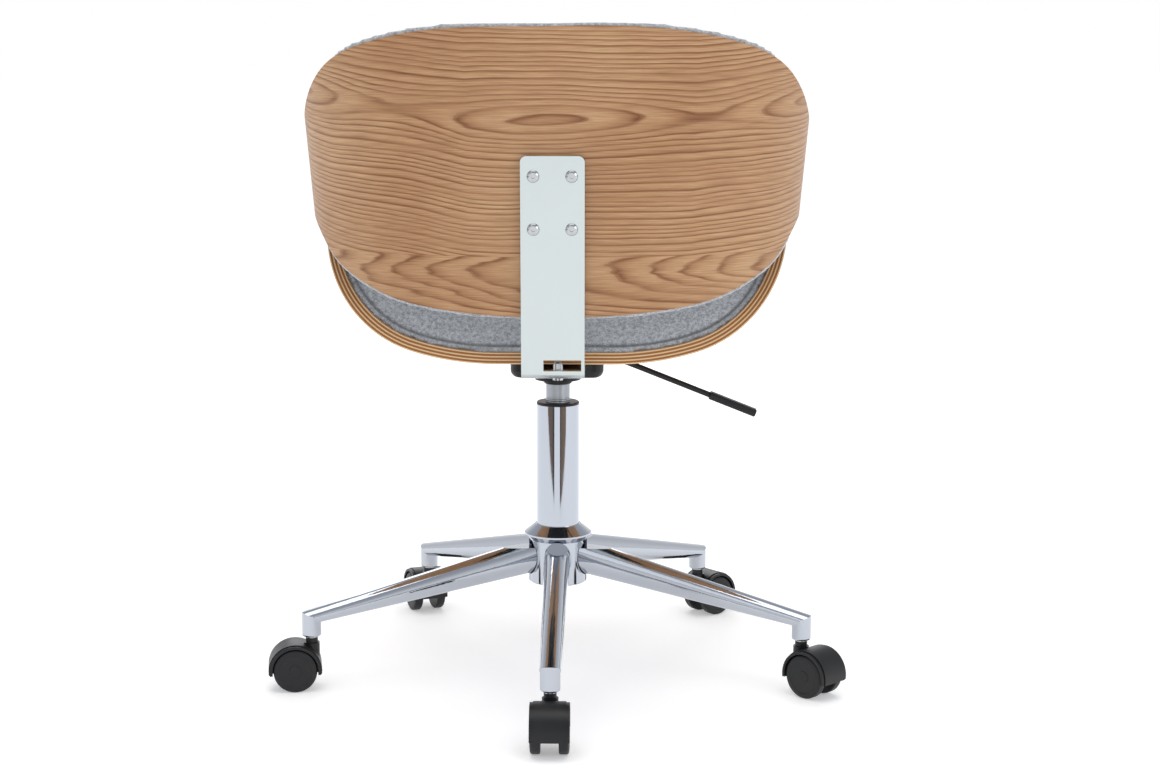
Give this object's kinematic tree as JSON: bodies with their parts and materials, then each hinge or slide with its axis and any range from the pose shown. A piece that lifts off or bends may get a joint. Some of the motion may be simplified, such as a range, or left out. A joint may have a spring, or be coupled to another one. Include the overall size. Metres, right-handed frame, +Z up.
{
  "type": "low-back swivel chair",
  "caption": "Low-back swivel chair: bent ash shells with grey padding on a height-adjustable column and a five-leg chromed caster base.",
  "frame": {"origin": "on the floor under the lift column", "axes": "+Z up, the sitter faces -Y, +X to the sitter's left"},
  "size_m": [0.6647, 0.6395, 0.7596],
  "materials": {
    "chromed_steel": "bright chrome plate",
    "plated_steel": "bright zinc plate",
    "ground_steel": "ground, fine turning marks",
    "black_enamelled_steel": "black satin enamel",
    "black_moulded_nylon": "moulded, fine texture",
    "black_rubber": "moulded",
    "ash_plywood": "ash veneer, satin lacquer",
    "grey_wool_cloth": "woven wool felt"
  },
  "bodies": {
    "base": {"star_hub": "chromed_steel", "leg_1": "chromed_steel", "leg_2": "chromed_steel", "leg_3": "chromed_steel", "leg_4": "chromed_steel", "leg_5": "chromed_steel", "caster_sleeves": "plated_steel", "outer_tube": "chromed_steel", "guide_bush": "black_moulded_nylon", "lower_race": "plated_steel", "caster_1_stem": "plated_steel", "caster_2_stem": "plated_steel", "caster_3_stem": "plated_steel", "caster_4_stem": "plated_steel", "caster_5_stem": "plated_steel"},
    "lift_rod": {"piston_rod": "plated_steel", "retaining_clip": "plated_steel", "upper_race": "plated_steel", "bump_rubber": "black_rubber", "bearing_balls": "plated_steel"},
    "seat": {"gas_cylinder": "ground_steel", "rod_guide": "plated_steel", "taper_socket": "black_enamelled_steel", "mechanism_pan": "black_enamelled_steel", "seat_plate": "black_enamelled_steel", "lever_bracket": "black_enamelled_steel", "lever_pivot_pin": "plated_steel", "back_bracket": "chromed_steel", "back_screws": "plated_steel", "back_tee_nuts": "plated_steel", "seat_bolts": "plated_steel", "bracket_bolts": "plated_steel", "seat_tee_nuts": "plated_steel", "seat_shell": "ash_plywood", "seat_cushion": "grey_wool_cloth", "back_shell": "ash_plywood", "back_cushion": "grey_wool_cloth"},
    "lever": {"lever_rod": "black_enamelled_steel", "lever_grip": "black_moulded_nylon"},
    "release": {"release_pin": "plated_steel"},
    "caster_1": {"caster_1_hood": "black_moulded_nylon", "caster_1_axle": "plated_steel"},
    "caster_1_left": {"caster_1_wheel_left": "black_moulded_nylon"},
    "caster_1_right": {"caster_1_wheel_right": "black_moulded_nylon"},
    "caster_2": {"caster_2_hood": "black_moulded_nylon", "caster_2_axle": "plated_steel"},
    "caster_2_left": {"caster_2_wheel_left": "black_moulded_nylon"},
    "caster_2_right": {"caster_2_wheel_right": "black_moulded_nylon"},
    "caster_3": {"caster_3_hood": "black_moulded_nylon", "caster_3_axle": "plated_steel"},
    "caster_3_left": {"caster_3_wheel_left": "black_moulded_nylon"},
    "caster_3_right": {"caster_3_wheel_right": "black_moulded_nylon"},
    "caster_4": {"caster_4_hood": "black_moulded_nylon", "caster_4_axle": "plated_steel"},
    "caster_4_left": {"caster_4_wheel_left": "black_moulded_nylon"},
    "caster_4_right": {"caster_4_wheel_right": "black_moulded_nylon"},
    "caster_5": {"caster_5_hood": "black_moulded_nylon", "caster_5_axle": "plated_steel"},
    "caster_5_left": {"caster_5_wheel_left": "black_moulded_nylon"},
    "caster_5_right": {"caster_5_wheel_right": "black_moulded_nylon"}
  },
  "joints": [
    {"name": "seat_swivel", "type": "hinge", "parent": "base", "child": "lift_rod", "pos_m": [0, 0, 0.11], "axis": [0, 0, 1], "continuous": true},
    {"name": "height_lift", "type": "slide", "parent": "lift_rod", "child": "seat", "axis": [0, 0, 1], "range_m": [0, 0.1]},
    {"name": "lever_pull", "type": "hinge", "parent": "seat", "child": "lever", "pos_m": [-0.03, 0, 0.37714], "axis": [0, 1, 0], "range_deg": [0, 5], "stiffness_Nm_per_rad": 2},
    {"name": "release_press", "type": "slide", "parent": "seat", "child": "release", "axis": [0, 0, 1], "range_m": [-0.00263, 0]},
    {"name": "caster_1_swivel", "type": "hinge", "parent": "base", "child": "caster_1", "pos_m": [0.00155, 0.2957, 0.05], "axis": [0, 0, 1], "continuous": true},
    {"name": "caster_1_roll_left", "type": "hinge", "parent": "caster_1", "child": "caster_1_left", "pos_m": [0.00155, 0.3153, 0.025], "axis": [1, 0, 0], "continuous": true},
    {"name": "caster_1_roll_right", "type": "hinge", "parent": "caster_1", "child": "caster_1_right", "pos_m": [0.00155, 0.3153, 0.025], "axis": [1, 0, 0], "continuous": true},
    {"name": "caster_2_swivel", "type": "hinge", "parent": "base", "child": "caster_2", "pos_m": [0.2817, 0.0899, 0.05], "axis": [0, 0, 1], "continuous": true},
    {"name": "caster_2_roll_left", "type": "hinge", "parent": "caster_2", "child": "caster_2_left", "pos_m": [0.30109, 0.0928, 0.025], "axis": [0.1478, -0.989, 0], "continuous": true},
    {"name": "caster_2_roll_right", "type": "hinge", "parent": "caster_2", "child": "caster_2_right", "pos_m": [0.30109, 0.0928, 0.025], "axis": [0.1478, -0.989, 0], "continuous": true},
    {"name": "caster_3_swivel", "type": "hinge", "parent": "base", "child": "caster_3", "pos_m": [0.17255, -0.24013, 0.05], "axis": [0, 0, 1], "continuous": true},
    {"name": "caster_3_roll_left", "type": "hinge", "parent": "caster_3", "child": "caster_3_left", "pos_m": [0.17989, -0.25831, 0.025], "axis": [-0.9272, -0.3746, 0], "continuous": true},
    {"name": "caster_3_roll_right", "type": "hinge", "parent": "caster_3", "child": "caster_3_right", "pos_m": [0.17989, -0.25831, 0.025], "axis": [-0.9272, -0.3746, 0], "continuous": true},
    {"name": "caster_4_swivel", "type": "hinge", "parent": "base", "child": "caster_4", "pos_m": [-0.17506, -0.23831, 0.05], "axis": [0, 0, 1], "continuous": true},
    {"name": "caster_4_roll_left", "type": "hinge", "parent": "caster_4", "child": "caster_4_left", "pos_m": [-0.18985, -0.25117, 0.025], "axis": [-0.6561, 0.7547, 0], "continuous": true},
    {"name": "caster_4_roll_right", "type": "hinge", "parent": "caster_4", "child": "caster_4_right", "pos_m": [-0.18985, -0.25117, 0.025], "axis": [-0.6561, 0.7547, 0], "continuous": true},
    {"name": "caster_5_swivel", "type": "hinge", "parent": "base", "child": "caster_5", "pos_m": [-0.28075, 0.09285, 0.05], "axis": [0, 0, 1], "continuous": true},
    {"name": "caster_5_roll_left", "type": "hinge", "parent": "caster_5", "child": "caster_5_left", "pos_m": [-0.29484, 0.10646, 0.025], "axis": [0.6947, 0.7193, 0], "continuous": true},
    {"name": "caster_5_roll_right", "type": "hinge", "parent": "caster_5", "child": "caster_5_right", "pos_m": [-0.29484, 0.10646, 0.025], "axis": [0.6947, 0.7193, 0], "continuous": true}
  ],
  "couplings": [
    {"joint": "release_press", "follows": "lever_pull", "m_per_rad": -0.03}
  ]
}
